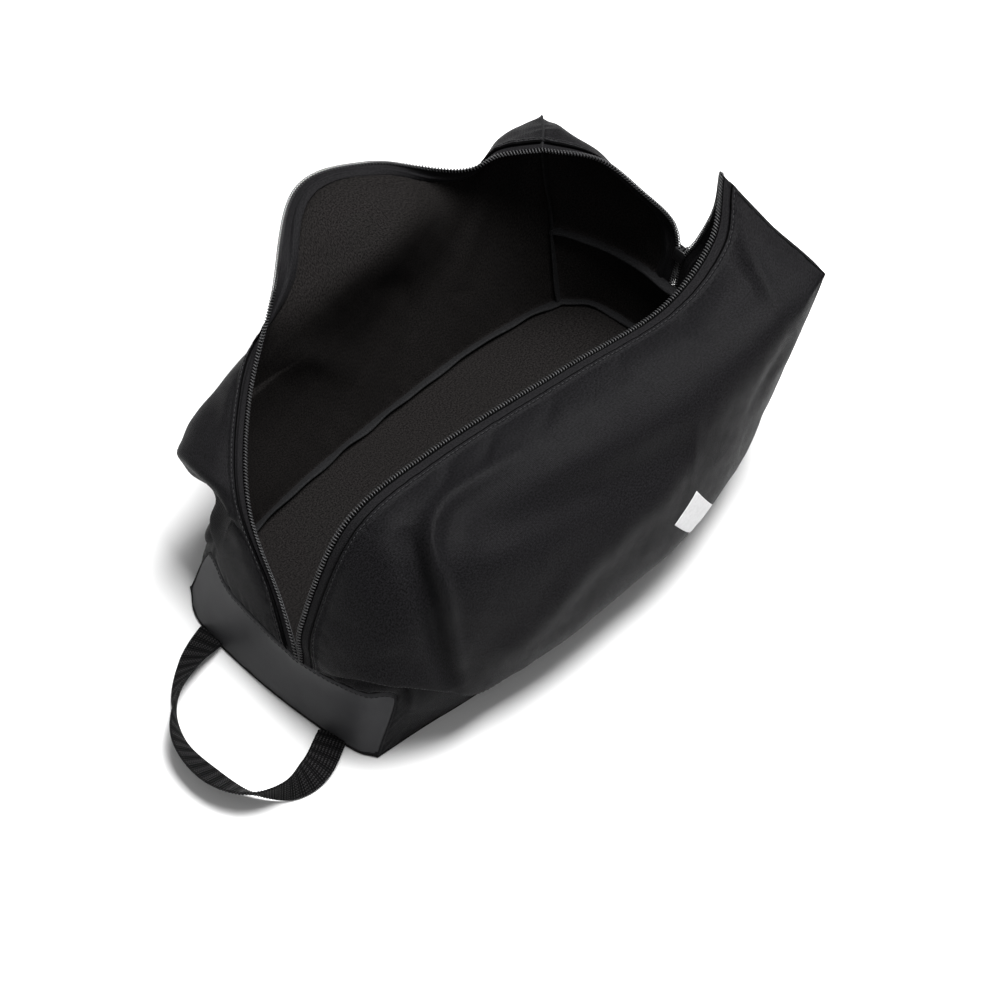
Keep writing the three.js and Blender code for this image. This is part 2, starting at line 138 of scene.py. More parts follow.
# Boxes as low corner, high corner and bevel: +X out of the cloth, Y across the zip, +Z up along it.
SLIDER_BOXES = [
    ((1.5, -4.4, -5), (2.7, 4.4, 5), 0.5),  # outer plate
    ((-3.4, -4.4, -5), (-2.2, 4.4, 5), 0.5),  # inner plate
    ((-3.0, -0.9, 2.8), (2.4, 0.9, 5), 0.3),  # neck between them
    ((2.5, -0.8, -3.6), (6.0, 0.8, -2.4), 0.4),  # feet of the bail
    ((2.5, -0.8, 2.4), (6.0, 0.8, 3.6), 0.4),
    ((4.8, -0.8, -3.6), (6.0, 0.8, 3.6), 0.5),  # bail
]
PULLER_BOXES = [
    ((-0.6, -3.25, -0.7), (0.6, 3.25, 0.7), 0.5),  # crossbar
    ((-0.6, -3.25, -9.5), (0.6, -1.5, 0.7), 0.45),  # arms of the eye
    ((-0.6, 1.5, -9.5), (0.6, 3.25, 0.7), 0.45),
    ((-0.6, -3.25, -17), (0.6, 3.25, -7.6), 0.5),  # solid middle
    ((-0.6, -3.25, -PULLER_LENGTH), (0.6, -2.0, -15), 0.45),  # arms of the slot
    ((-0.6, 2.0, -PULLER_LENGTH), (0.6, 3.25, -15), 0.45),
    ((-0.6, -3.25, -PULLER_LENGTH), (0.6, 3.25, -25), 0.55),  # closed end
]
STOP_BOX = ((1.0, -4, -1.5), (2.3, 4, 1.5), 0.5)
# White patch in (s, t) of the front wall: a corner, then its sides along the bag and down the wall.
PATCH_CORNER = (0.5608, 0.6853)
PATCH_ALONG = (0.0386, -0.0272)
PATCH_DOWN = (0.034, 0.105)

# ------------------------------------------------------------------ camera, light and stage, metres
CAMERA_AZIMUTH = -45.35
CAMERA_ELEVATION = 55.0
CAMERA_DISTANCE = 2.1
CAMERA_AIM = (-0.01483, -0.03419, 0.06544)
LENS = 117.94
SENSOR = 36
LIGHT_AIM = (0, 0, 0.08)
WORLD_STRENGTH = 0.26
FLOOR_REACH = 4000  # mm


# ------------------------------------------------------------------ curves and surfaces
def catmull_weights(u, count):
    """Catmull-Rom weights of `count` evenly spaced points, for every u from 0 to 1."""
    u = np.clip(np.asarray(u, float), 0, 1)
    at = u * (count - 1)
    i = np.minimum(at.astype(int), count - 2)
    f = at - i
    parts = [
        -0.5 * f + f**2 - 0.5 * f**3,
        1 - 2.5 * f**2 + 1.5 * f**3,
        0.5 * f + 2 * f**2 - 1.5 * f**3,
        -0.5 * f**2 + 0.5 * f**3,
    ]
    out = np.zeros(u.shape + (count,))
    spots = np.indices(u.shape)
    for k, weight in zip((-1, 0, 1, 2), parts):
        j = i + k
        low, high = j < 0, j > count - 1
        inside = ~(low | high)
        np.add.at(out, (*[s[inside] for s in spots], j[inside]), weight[inside])
        for mask, near, next_in in ((low, 0, 1), (high, count - 1, count - 2)):
            np.add.at(out, (*[s[mask] for s in spots], near), 2 * weight[mask])
            np.add.at(out, (*[s[mask] for s in spots], next_in), -weight[mask])
    return out


def along(points, u):
    """Points at u, from 0 to 1, on the smooth curve through evenly spaced points."""
    return catmull_weights(u, len(points)) @ points


def straight_weights(u, count):
    """Weights of straight lines between `count` evenly spaced points."""
    at = np.clip(np.asarray(u, float), 0, 1)[..., None] * (count - 1)
    return np.clip(1 - np.abs(at - np.arange(count)), 0, 1)


def table_surface(table):
    """Surface through the columns; towards the far end its shoulder sharpens to a corner."""
    def surface(s, t):
        s, t = np.broadcast_arrays(s, t)
        ws = catmull_weights(s, table.shape[0])
        sharp = CORNER_SHARPNESS * smoothstep((s - CORNER_FROM) / (1 - CORNER_FROM))[..., None]
        rows = table.shape[1]
        wt = catmull_weights(t, rows) * (1 - sharp) + straight_weights(t, rows) * sharp
        return np.einsum("...c,...r,crd->...d", ws, wt, table)

    return surface


def coons(top, bottom, left, right):
    """Surface between four edges: u from left to right, v from top to bottom."""
    corners = [edge(np.array([0.0, 1.0])) for edge in (top, bottom)]

    def surface(u, v):
        u, v = np.broadcast_arrays(np.asarray(u, float), np.asarray(v, float))
        a, b = u[..., None], v[..., None]
        ruled = top(u) * (1 - b) + bottom(u) * b + left(v) * (1 - a) + right(v) * a
        twist = (1 - b) * ((1 - a) * corners[0][0] + a * corners[0][1])
        return ruled - twist - b * ((1 - a) * corners[1][0] + a * corners[1][1])

    return surface


def unit(v):
    return v / np.maximum(np.linalg.norm(v, axis=-1, keepdims=True), 1e-9)


def grid_normals(points, side):
    """Unit normals of a grid of points; `side`, 1 or -1, picks the side they point to."""
    across, down = np.gradient(points, axis=0), np.gradient(points, axis=1)
    return side * unit(np.cross(across, down))


def arc(points, axis=0):
    """Length along a line of points, from its start."""
    steps = np.linalg.norm(np.diff(points, axis=axis), axis=-1)
    pad = [(0, 0)] * steps.ndim
    pad[axis] = (1, 0)
    return np.cumsum(np.pad(steps, pad), axis=axis)


def smoothed(line, count):
    """Running weighted average of a line over an odd number of neighbours."""
    window = np.hanning(count + 2)[1:-1]
    padded = np.pad(line, ((count // 2, count // 2), (0, 0)), mode="edge")
    return np.stack([np.convolve(padded[:, k], window / window.sum(), "valid") for k in range(3)], -1)


WAVE_COUNT = 9
WAVE_PEAK = 3.2  # sum that so many waves seldom pass


def waves(points, size, seed):
    """Smooth random field, about -1 to 1, whose bumps are `size` millimetres apart."""
    rng = np.random.default_rng(seed)
    total = np.zeros(points.shape[:-1])
    for _ in range(WAVE_COUNT):
        direction = unit(rng.normal(size=3))
        stretch = rng.uniform(0.7, 1.5)
        total += np.sin(points @ direction * (2 * math.pi / size * stretch) + rng.uniform(0, 2 * math.pi))
    return total / WAVE_PEAK


def smoothstep(x):
    x = np.clip(x, 0, 1)
    return x * x * (3 - 2 * x)


# ------------------------------------------------------------------ mesh writing
def new_object(name, verts, faces, materials, face_slots=None, uv=None):
    """Smooth shaded object in the scene, from points and texture coordinates in millimetres."""
    mesh = bpy.data.meshes.new(name)
    mesh.from_pydata((np.asarray(verts) * MM).tolist(), [], [list(map(int, f)) for f in faces])
    for material in materials:
        mesh.materials.append(material)
    if face_slots is not None:
        mesh.polygons.foreach_set("material_index", np.asarray(face_slots, np.int32))
    if uv is not None:
        layer = mesh.uv_layers.new(name="weave")
        loops = np.zeros(len(mesh.loops), np.int32)
        mesh.loops.foreach_get("vertex_index", loops)
        layer.data.foreach_set("uv", (np.asarray(uv)[loops] * MM).astype(np.float32).ravel())
    mesh.polygons.foreach_set("use_smooth", [True] * len(mesh.polygons))
    mesh.update()
    obj = bpy.data.objects.new(name, mesh)
    bpy.context.scene.collection.objects.link(obj)
    return obj


def quads(rows, cols, offset=0, flip=False, close=False):
    """Faces of a grid of points; `close` joins the last column to the first."""
    r, c = np.meshgrid(np.arange(rows - 1), np.arange(cols if close else cols - 1), indexing="ij")
    n = (c + 1) % cols
    faces = np.stack([r * cols + c, r * cols + n, (r + 1) * cols + n, (r + 1) * cols + c], -1)
    faces = faces.reshape(-1, 4)
    return (faces[:, ::-1] if flip else faces) + offset


def sheet(name, outer, inner, materials, side, uv_origin=(0, 0), shaded=0):
    """Closed sheet between two grids of points: slot 0 outside and at the rim, slot 1 inside.

    The first `shaded` columns outside, and the rim beside them, take slot 2, which holds painted shade
    wherever it is used.
    """
    rows, cols = outer.shape[:2]
    count = rows * cols
    verts = np.concatenate([outer.reshape(-1, 3), inner.reshape(-1, 3)])
    verts[:, 2] = np.maximum(verts[:, 2], 0)  # nothing sinks into the ground
    face_out = quads(rows, cols, 0, side < 0)
    face_in = quads(rows, cols, count, side > 0)
    ring = np.concatenate([
        np.arange(cols), np.arange(1, rows) * cols + cols - 1,
        (rows - 1) * cols + np.arange(cols - 2, -1, -1), np.arange(rows - 2, 0, -1) * cols,
    ])
    nxt = np.roll(ring, -1)
    rim = np.stack([ring, ring + count, nxt + count, nxt], -1)
    rim = rim if side > 0 else rim[:, ::-1]
    slots = np.concatenate([np.zeros(len(face_out)), np.ones(len(face_in)), np.zeros(len(rim))])
    if shaded:
        slots[:len(face_out)][np.arange(len(face_out)) % (cols - 1) < shaded] = 2
        slots[-len(rim):][(ring % cols == 0) & (nxt % cols == 0)] = 2
    u = arc(outer, 0).mean(axis=1)[:, None] + np.zeros((rows, cols)) + uv_origin[0]
    v = arc(outer, 1) + uv_origin[1]
    uv = np.stack([u, v], -1).reshape(-1, 2)
    faces = np.concatenate([face_out, face_in, rim])
    return new_object(name, verts, faces, materials, slots, np.concatenate([uv, uv]))


def tube(path, radius, sides, taper_ends=False):
    """Verts and faces of a closed tube along a path."""
    tangent = unit(np.gradient(path, axis=0))
    helper = np.where(np.abs(tangent[:, 2:]) > 0.9, [[1.0, 0, 0]], [[0, 0, 1.0]])
    a = unit(np.cross(tangent, helper))
    b = np.cross(tangent, a)
    angle = np.linspace(0, 2 * math.pi, sides, endpoint=False)
    scale = np.full(len(path), radius)
    if taper_ends:
        scale[[0, -1]] *= 0.35
    ring = np.cos(angle)[None, :, None] * a[:, None] + np.sin(angle)[None, :, None] * b[:, None]
    verts = path[:, None] + ring * scale[:, None, None]
    faces = [list(f) for f in quads(len(path), sides, close=True)]
    faces += [list(range(sides))[::-1], list(range((len(path) - 1) * sides, len(path) * sides))]
    return verts.reshape(-1, 3), faces


def join_parts(parts):
    """One list of verts and faces out of many."""
    verts, faces, start = [], [], 0
    for part_verts, part_faces in parts:
        verts.append(part_verts)
        faces += [[i + start for i in f] for f in part_faces]
        start += len(part_verts)
    return np.concatenate(verts), faces


# ------------------------------------------------------------------ materials
def node(tree, kind, inputs=None, **settings):
    """New node with these properties, and these values on its input sockets."""
    made = tree.nodes.new(kind)
    for key, value in settings.items():
        setattr(made, key, value)
    for key, value in (inputs or {}).items():
        made.inputs[key].default_value = value
    return made


def start_material(name, roughness, sheen=0.0, specular=0.5, metallic=0.0):
    material = bpy.data.materials.new(name)
    material.use_nodes = True
    tree = material.node_tree
    shader = tree.nodes["Principled BSDF"]
    for socket, value in {
        "Roughness": roughness, "Sheen Weight": sheen, "Sheen Roughness": 0.45,
        "Specular IOR Level": specular, "Metallic": metallic,
    }.items():
        shader.inputs[socket].default_value = value
    return material, tree, shader


def colour_ramp(tree, shader, factor, dark, light, start, end):
    """Base colour that goes from dark to light as the factor goes from start to end."""
    ramp = tree.nodes.new("ShaderNodeValToRGB")
    for element, position, colour in zip(ramp.color_ramp.elements, (start, end), (dark, light)):
        element.position = position
        element.color = (*colour, 1)
    tree.links.new(factor, ramp.inputs["Fac"])
    tree.links.new(ramp.outputs["Color"], shader.inputs["Base Color"])


def noise_factor(tree, vector, scale, detail):
    noise = node(tree, "ShaderNodeTexNoise", {"Scale": scale, "Detail": detail})
    tree.links.new(vector, noise.inputs["Vector"])
    return noise.outputs["Fac"]


def two_tone(tree, shader, dark, light, vector, scale, detail=4.0):
    """Base colour that drifts between two tones with a noise; returns the noise."""
    factor = noise_factor(tree, vector, scale, detail)
    colour_ramp(tree, shader, factor, dark, light, 0.35, 0.65)
    return factor


def rough_range(tree, shader, source, low, high):
    spread = node(tree, "ShaderNodeMapRange", {"To Min": low, "To Max": high})
    tree.links.new(source, spread.inputs["Value"])
    tree.links.new(spread.outputs["Result"], shader.inputs["Roughness"])


def bands(tree, vector, direction, period):
    """Sine bands across a direction, with a period in millimetres; a Scale of 1 gives pi / 10 metres."""
    scale = math.pi / 10 / (period * MM)
    wave = node(tree, "ShaderNodeTexWave", {"Scale": scale}, bands_direction=direction)
    tree.links.new(vector, wave.inputs["Vector"])
    return wave.outputs["Fac"]


def weave_height(tree, vector, thread):
    """Height of a plain weave: warp and weft threads of `thread` millimetres that pass over and under."""
    checker = node(tree, "ShaderNodeTexChecker", {"Scale": 1 / (thread * MM)})
    tree.links.new(vector, checker.inputs["Vector"])
    mix = tree.nodes.new("ShaderNodeMix")
    tree.links.new(checker.outputs["Fac"], mix.inputs["Factor"])
    tree.links.new(bands(tree, vector, "X", 2 * thread), mix.inputs["A"])
    tree.links.new(bands(tree, vector, "Y", 2 * thread), mix.inputs["B"])
    return mix.outputs["Result"]


def add_bump(tree, shader, height, strength, distance, previous=None):
    bump = node(tree, "ShaderNodeBump", {"Strength": strength, "Distance": distance})
    tree.links.new(height, bump.inputs["Height"])
    if previous is not None:
        tree.links.new(previous, bump.inputs["Normal"])
    tree.links.new(bump.outputs["Normal"], shader.inputs["Normal"])
    return bump.outputs["Normal"]


def uv_vector(tree):
    return node(tree, "ShaderNodeUVMap", uv_map="weave").outputs["UV"]


def object_vector(tree):
    return tree.nodes.new("ShaderNodeTexCoord").outputs["Object"]


def woven(name, dark, light, thread, roughness, sheen, bump, specular):
    """Woven cloth: fine drift between two tones, plain weave relief, and slubs."""
    material, tree, shader = start_material(name, roughness, sheen, specular)
    vector = uv_vector(tree)
    two_tone(tree, shader, dark, light, vector, 900.0, 3.0)
    normal = add_bump(tree, shader, weave_height(tree, vector, thread), bump, 0.00012)
    slubs = noise_factor(tree, object_vector(tree), 140.0, 5.0)
    add_bump(tree, shader, slubs, 0.12, 0.0006, normal)
    rough_range(tree, shader, slubs, roughness - 0.07, roughness + 0.1)
    return material


def make_coated():
    material, tree, shader = start_material("coated_cloth", 0.5, specular=0.08)
    vector = object_vector(tree)
    drift = two_tone(tree, shader, (0.030, 0.030, 0.032), (0.037, 0.037, 0.039), vector, 60.0)
    normal = add_bump(tree, shader, noise_factor(tree, vector, 2600.0, 2.0), 0.25, 0.0001)
    add_bump(tree, shader, drift, 0.1, 0.0008, normal)
    rough_range(tree, shader, drift, 0.4, 0.54)
    return material


def make_plastic(name, dark, light, roughness, scale=300.0, metallic=0.0, specular=0.5):
    material, tree, shader = start_material(name, roughness, specular=specular, metallic=metallic)
    drift = two_tone(tree, shader, dark, light, object_vector(tree), scale)
    add_bump(tree, shader, drift, 0.08, 0.0002)
    rough_range(tree, shader, drift, roughness - 0.06, roughness + 0.08)
    return material


def make_webbing():
    """Yarns that run across the band, painted lighter where they come up between the warp lines, as
    highlight on the rib tops.
    """
    material, tree, shader = start_material("webbing_yarn", 0.6, specular=0.08)
    vector = uv_vector(tree)
    beads = node(tree, "ShaderNodeMath", operation="MULTIPLY")
    for k, (direction, pitch) in enumerate((("X", RIB_PITCH), ("Y", WARP_PITCH))):
        tree.links.new(bands(tree, vector, direction, pitch), beads.inputs[k])
    height = beads.outputs["Value"]
    # The rib tops get a lighter base colour than the valleys: painted highlight.
    colour_ramp(tree, shader, height, (0.0015, 0.0015, 0.0017), (0.030, 0.029, 0.030), 0.25, 0.85)
    add_bump(tree, shader, height, 0.6, 0.0004)
    rough_range(tree, shader, height, 0.75, 0.5)
    return material


BODY = woven(
    "body_cloth", (0.0012, 0.0012, 0.0014), (0.0098, 0.0094, 0.0106),
    thread=0.5, roughness=0.5, sheen=0.003, bump=0.8, specular=0.06,
)
# Near-black, with no sheen or specular: painted shade for the dark line at the hem's fold and beside the
# coil.
ZIP_LINE_SHADE = woven(
    "painted_zip_shade", (0.0006, 0.0006, 0.0007), (0.0016, 0.0016, 0.0017),
    thread=0.5, roughness=0.8, sheen=0.0, bump=0.6, specular=0.02,
)
LINING = woven(
    "lining_coat", (0.003, 0.0027, 0.0027), (0.015, 0.0137, 0.0133),
    thread=0.6, roughness=0.75, sheen=0.002, bump=0.7, specular=0.04,
)
TAPE = woven(
    "zip_tape_weave", (0.0025, 0.0025, 0.003), (0.0105, 0.01, 0.011),
    thread=0.7, roughness=0.7, sheen=0.01, bump=0.8, specular=0.08,
)
BINDING = woven(
    "binding_weave", (0.006, 0.006, 0.0065), (0.016, 0.016, 0.017),
    thread=0.6, roughness=0.75, sheen=0.01, bump=0.8, specular=0.1,
)
COATED_CLOTH = make_coated()
# The coil is black nylon; its lighter base colour stands in for the highlights on its turns: partly its own
# tone, partly painted highlight.
COIL = make_plastic("coil_nylon_and_highlight", (0.03, 0.03, 0.031), (0.055, 0.055, 0.057), 0.34, specular=0.35)
# The core is a real cord, but its near-black colour, far darker than the coil, is painted shade for the
# gaps between the coil's turns.
CORE_GAP_SHADE = make_plastic("coil_core_shade", (0.001, 0.001, 0.0011), (0.002, 0.002, 0.0022), 0.9, specular=0.05)
METAL = make_plastic("slider_paint", (0.008, 0.008, 0.009), (0.016, 0.016, 0.017), 0.34, 220.0, 0.3)
THREAD = make_plastic("thread_black", (0.01, 0.01, 0.011), (0.024, 0.024, 0.026), 0.55, 2500.0,
                      specular=0.3)
WEBBING = make_webbing()
PRINT = make_plastic("white_print", (0.5, 0.5, 0.505), (0.56, 0.56, 0.565), 0.5, 500.0, specular=0.2)


def sewn(obj, slot, *replaced):
    """The object is part of the bag's body, in place of these CAD pieces."""
    if replaced:
        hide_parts(*replaced)
    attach(obj, "bag")


# ------------------------------------------------------------------ the two halves
def make_half(table, run, side, fullness):
    """Surfaces of one half, and the side, 1 or -1, on which its normals point out.

    `wall` takes (s, t): s from the handle end to the far end, t from the zip to the foot.
    `gusset` takes (u, v): u from the zip to the corner seam, v from the top seam down. `down_gusset` is
    the same surface with v first. `fullness` is how far the gusset bulges out, in mm.
    """
    wall = table_surface(table)

    def left(v):
        return along(run, v)

    def right(v):
        return wall(np.ones_like(v), SHOULDER_T + (FAR_CORNER_T - SHOULDER_T) * v)

    def bottom(u):
        end = np.ones_like(u)
        line = left(end) * (1 - u[..., None]) + right(end) * u[..., None]
        line[..., 0] += FAR_SEAM_BULGE * np.sin(math.pi * u)
        return line

    gusset = coons(lambda u: wall(np.ones_like(u), u * SHOULDER_T), bottom, left, right)
    return {
        "wall": wall, "gusset": gusset, "down_gusset": lambda v, u: gusset(u, v), "side": side,
        "fullness": fullness, "apex": wall(np.array([1.0]), np.array([SHOULDER_T]))[0],
    }


HALVES = {
    "front": make_half(FRONT_COLUMNS, FRONT_RUN, -1, 0.0),
    "back": make_half(BACK_COLUMNS, BACK_RUN, 1, 5.5),
}


def rows_from_edge(surface, s, distances, shares=()):
    """Parameters t for each s: fixed distances from the edge t = 0, then shares of what is left."""
    fine = np.linspace(0, 1, 240)
    lengths = arc(surface(s[:, None], fine[None, :]), 1)
    last = distances[-1]
    out = []
    for line in lengths:
        wanted = np.concatenate([distances, last + (line[-1] - last) * np.array(shares)])
        out.append(np.interp(wanted, line, fine))
    return np.array(out)


# Rows of points beside the zip, as distances from the coil's free edge, and the rows after them as
# shares of what is left.
HEM_ROWS = ZIP_REACH + np.array([
    0, 0.25, 0.6, 1.0, 1.6, 2.4, 2.9, 3.3, 3.7, 4.2, 4.8, 5.6, 6.6, 8.0, 10.0, 12.5,
])
HEM_SHADED = 4  # columns along the hem's fold edge, painted near-black as shade
WALL_SHARES = [*np.linspace(0, 0.985, 96)[1:], 0.991, 0.996, 1.0]
GUSSET_SHARES = [*np.linspace(0, 0.97, 44)[1:], 0.982, 0.992, 1.0]


def edge_spread(count):
    """Parameters from 0 to 1 with extra ones close to both ends, where seams roll in."""
    near = np.array([0, 0.0015, 0.0035, 0.0065, 0.0105])
    middle = np.linspace(0.016, 0.984, count)
    return np.concatenate([near, middle, 1 - near[::-1]])


def hem_profile(distance):
    """The folded hem stands proud of the single cloth, with a groove where the topstitch pulls it in."""
    into = distance - ZIP_REACH
    double = HEM_LIFT * (1 - smoothstep((into - 4.2) / 2.2))
    rounded = -0.6 * HEM_LIFT * np.exp(-((into / 0.45) ** 2))
    groove = -0.5 * np.exp(-(((into - STITCH_IN) / 0.45) ** 2))
    return double + rounded + groove


def seam_roll(distance, depth=1.3, width=1.5):
    """The cloth rolls in towards a seam."""
    return -depth * np.exp(-((distance / width) ** 2))


def pucker(along_seam, distance, seed, height, pitch=9.0, reach=7.0):
    """Small gathers that a row of stitches leaves beside itself."""
    phases = np.random.default_rng(seed).uniform(0, 6, 4)
    wave = np.zeros_like(along_seam)
    for k, phase in enumerate(phases):
        wave += np.sin(along_seam * 2 * math.pi / (pitch * (0.7 + 0.35 * k)) + phase) / len(phases)
    return height * wave * np.exp(-((distance / reach) ** 2))


# Folds of a wall: where they run as (s, t), then their width and height in mm, a valley if negative.
FRONT_FOLDS = [
    ([(0.47, 0.24), (0.40, 0.235), (0.366, 0.262), (0.332, 0.32), (0.305, 0.392), (0.273, 0.506),
      (0.250, 0.58), (0.226, 0.668), (0.208, 0.76)], 6.0, 6.5),
    ([(0.33, 0.24), (0.30, 0.32), (0.269, 0.42), (0.243, 0.532), (0.215, 0.627), (0.192, 0.742)], 9, -7.5),
    ([(0.14, 0.50), (0.17, 0.40), (0.20, 0.32), (0.24, 0.22)], 20, 2.2),
    ([(0.36, 0.36), (0.42, 0.42), (0.50, 0.48), (0.57, 0.53), (0.61, 0.57)], 17, -8.0),
    ([(0.30, 0.74), (0.38, 0.68), (0.47, 0.62), (0.56, 0.60), (0.64, 0.55)], 13, 3.2),
    ([(0.094, 0.605), (0.080, 0.65), (0.070, 0.70), (0.063, 0.84)], 3.2, 4.2),
    ([(0.082, 0.61), (0.066, 0.66), (0.05, 0.74)], 2.8, -3.6),
    ([(0.03, 0.36), (0.055, 0.50), (0.082, 0.61)], 3.2, 3.2),
    ([(0.90, 0.12), (0.87, 0.20), (0.83, 0.33), (0.80, 0.46)], 5, 1.6),
    ([(0.84, 0.12), (0.82, 0.22), (0.78, 0.36)], 6, -1.8),
    ([(0.93, 0.22), (0.945, 0.32), (0.95, 0.42)], 5, -1.6),
    ([(0.71, 0.10), (0.70, 0.18), (0.69, 0.30)], 6, -1.5),
    ([(0.62, 0.10), (0.60, 0.16), (0.585, 0.24)], 5, -1.3),
    ([(0.535, 0.10), (0.52, 0.15), (0.50, 0.21)], 4, -1.6),
    ([(0.475, 0.10), (0.455, 0.15), (0.435, 0.20)], 4, -1.9),
    ([(0.425, 0.10), (0.405, 0.15), (0.385, 0.19)], 4, -1.7),
    ([(0.70, 0.62), (0.78, 0.58), (0.86, 0.56)], 9, -2.2),
    ([(0.45, 0.86), (0.55, 0.84), (0.65, 0.86)], 9, -2.0),
]
BACK_FOLDS = [
    ([(0.125, 0.60), (0.145, 0.42), (0.160, 0.26), (0.172, 0.12), (0.176, 0.06)], 4.5, -3.0),
    ([(0.205, 0.56), (0.207, 0.44), (0.21, 0.30), (0.225, 0.10)], 5.5, 4.2),
    ([(0.30, 0.44), (0.28, 0.30), (0.27, 0.14)], 8, -2.0),
    ([(0.60, 0.08), (0.66, 0.20), (0.70, 0.36)], 8, -2.4),
    ([(0.46, 0.30), (0.55, 0.42), (0.64, 0.40)], 10, 2.0),
    ([(0.97, 0.55), (0.93, 0.66), (0.90, 0.82)], 7, 1.8),
    ([(0.86, 0.52), (0.78, 0.66), (0.72, 0.84)], 11, -3.0),
    ([(0.40, 0.56), (0.46, 0.70), (0.50, 0.86)], 12, -2.6),
    ([(0.55, 0.60), (0.62, 0.74), (0.60, 0.88)], 10, 1.8),
    ([(0.150, 0.28), (0.150, 0.40), (0.149, 0.50), (0.150, 0.60), (0.153, 0.70)], 13, -13.0),
    ([(0.06, 0.80), (0.11, 0.79), (0.17, 0.80)], 9, 5.0),
]
# Overhangs: the cloth above the line bulges out over the cloth below, which tucks in.
# Line as (s, t), rise and reach above it, depth and reach below it.
FRONT_OVERHANG = (
    [(0.0, 0.20), (0.019, 0.276), (0.067, 0.468), (0.094, 0.605), (0.145, 0.712), (0.219, 0.80),
     (0.268, 0.827), (0.34, 0.85)],
    6.0, 12.0, 9.0, 15.0,
)
BACK_OVERHANG = (
    [(0.07, 0.50), (0.11, 0.53), (0.16, 0.555), (0.21, 0.575), (0.27, 0.60), (0.34, 0.64)],
    2.5, 12.0, 15.0, 28.0,
)


def line_on(wall, line):
    """Points in space of a line of (s, t) points on a wall, and the way towards the zip at each of them."""
    spots = along(np.array(line, float), np.linspace(0, 1, 60))
    path = wall(spots[:, 0], spots[:, 1])
    return path, wall(spots[:, 0], np.maximum(spots[:, 1] - 0.02, 0)) - path


def nearest_on(points, path):
    """Offset of every point from a path, and where along the path it is nearest, in steps of the path."""
    best = np.full(points.shape[:-1], np.inf)
    where = np.zeros(points.shape[:-1])
    offset = np.zeros_like(points)
    for k, (start, step) in enumerate(zip(path[:-1], np.diff(path, axis=0))):
        share = np.clip((points - start) @ step / (step @ step), 0, 1)
        away = points - start - share[..., None] * step
        gap = np.linalg.norm(away, axis=-1)
        closer = gap < best
        best[closer] = gap[closer]
        where[closer] = k + share[closer]
        offset[closer] = away[closer]
    return offset, where


def end_fade(where, count):
    """Share of a fold's height at a place on its line of `count` points: small at both ends."""
    return np.sin(math.pi * np.clip(where / (count - 1), 0.02, 0.98)) ** 0.6


def fold_height(wall, points, line, width, height):
    """Ridge, or valley if negative, that follows a line and fades at its ends."""
    path, _ = line_on(wall, line)
    offset, where = nearest_on(points, path)
    distance = np.linalg.norm(offset, axis=-1)
    return height * np.exp(-((distance / width) ** 2)) * end_fade(where, len(path))


def overhang_height(wall, points, line, rise, rise_reach, depth, depth_reach):
    """Bulge on the zip's side of a line and tuck on the other, which meet at the line."""
    path, upward = line_on(wall, line)
    offset, where = nearest_on(points, path)
    distance = np.linalg.norm(offset, axis=-1)
    signed = distance * np.sign(np.sum(offset * upward[where.astype(int)], axis=-1))
    above = smoothstep((signed + OVERHANG_EDGE) / (2 * OVERHANG_EDGE))
    height = rise * np.exp(-((distance / rise_reach) ** 2)) * above
    height = height - depth * np.exp(-((distance / depth_reach) ** 2)) * (1 - above)
    return height * end_fade(where, len(path))


def apex_calm(half, points):
    """0 at the far top corner, where the edges of wall and gusset have to meet, and 1 away from it."""
    return smoothstep(np.linalg.norm(points - half["apex"], axis=-1) / APEX_REACH)


def wall_cloth(which, half, folds, overhang, seed):
    """The main panel of one half, from its hem beside the zip to the base seam.

    Returns the parameters of its points and the points of its outside.
    """
    wall = half["wall"]
    s = edge_spread(230)
    t = rows_from_edge(wall, s, HEM_ROWS, WALL_SHARES)
    points = wall(s[:, None], t)
    normals = grid_normals(points, half["side"])
    down = arc(points, 1) + ZIP_REACH
    sideways = arc(points, 0)
    to_foot = down[:, -1:] - down
    to_near = sideways
    to_far = sideways[-1:] - sideways
    from_edges = np.minimum(np.minimum(to_foot, to_near), to_far)
    calm = smoothstep((down - ZIP_REACH - 5) / 24) * smoothstep(from_edges / 26)
    height = hem_profile(down)
    for distance in (to_foot, to_near, to_far):
        height = height + seam_roll(distance)
    free = smoothstep(from_edges / 9) * smoothstep((down - ZIP_REACH) / 12)
    for line, width, rise in folds:
        height = height + fold_height(wall, points, line, width, rise) * free
    height = height + overhang_height(wall, points, *overhang) * smoothstep(from_edges / 14)
    height = height + calm * (waves(points, 110, seed) + 0.3 * waves(points, 42, seed + 1))
    height = height + 0.1 * waves(points, 15, seed + 2) * smoothstep(from_edges / 8)
    height = height + pucker(sideways, down - ZIP_REACH - STITCH_IN, seed + 3, 0.35, 9.0, 8.0)
    height = height + pucker(sideways, to_foot, seed + 4, 0.7, 13, 10)
    height = height + pucker(down, to_near, seed + 5, 0.6, 11, 9)
    height = height + pucker(down, to_far, seed + 6, 0.5, 10, 8)
    height = height * apex_calm(half, points)
    outer = points + normals * height[..., None]
    inner = outer - grid_normals(outer, half["side"]) * CLOTH
    # The first HEM_SHADED columns and their rim take the painted shade along the fold.
    obj = sheet(f"{which}_cloth", outer, inner, (BODY, LINING, ZIP_LINE_SHADE), half["side"], shaded=HEM_SHADED)
    sewn(obj, "body_cloth", f"{which}_roof", f"{which}_wall")
    return s, t, outer


